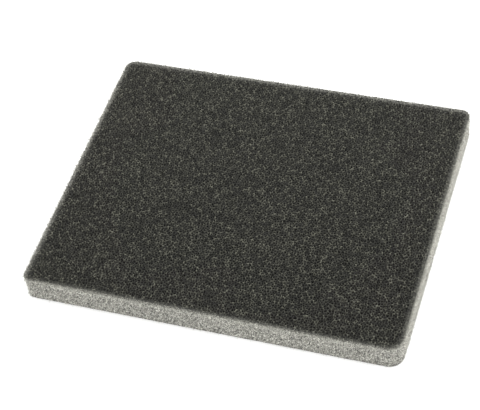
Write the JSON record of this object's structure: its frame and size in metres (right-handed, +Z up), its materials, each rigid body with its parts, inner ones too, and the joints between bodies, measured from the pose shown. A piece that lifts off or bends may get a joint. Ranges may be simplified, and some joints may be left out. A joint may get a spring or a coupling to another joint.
{
  "type": "flat foam air filter element",
  "caption": "Flat rectangular slab of open-cell filter foam with rounded corners, die cut to drop into a small engine's air filter housing.",
  "frame": {"origin": "middle of the bottom face of the slab", "axes": "+X along the long side, +Y along the short side, +Z up through the thickness"},
  "size_m": [0.13, 0.106, 0.01],
  "materials": {
    "open_cell_foam": "matte"
  },
  "bodies": {
    "root": {"foam_element": "open_cell_foam"}
  },
  "joints": []
}
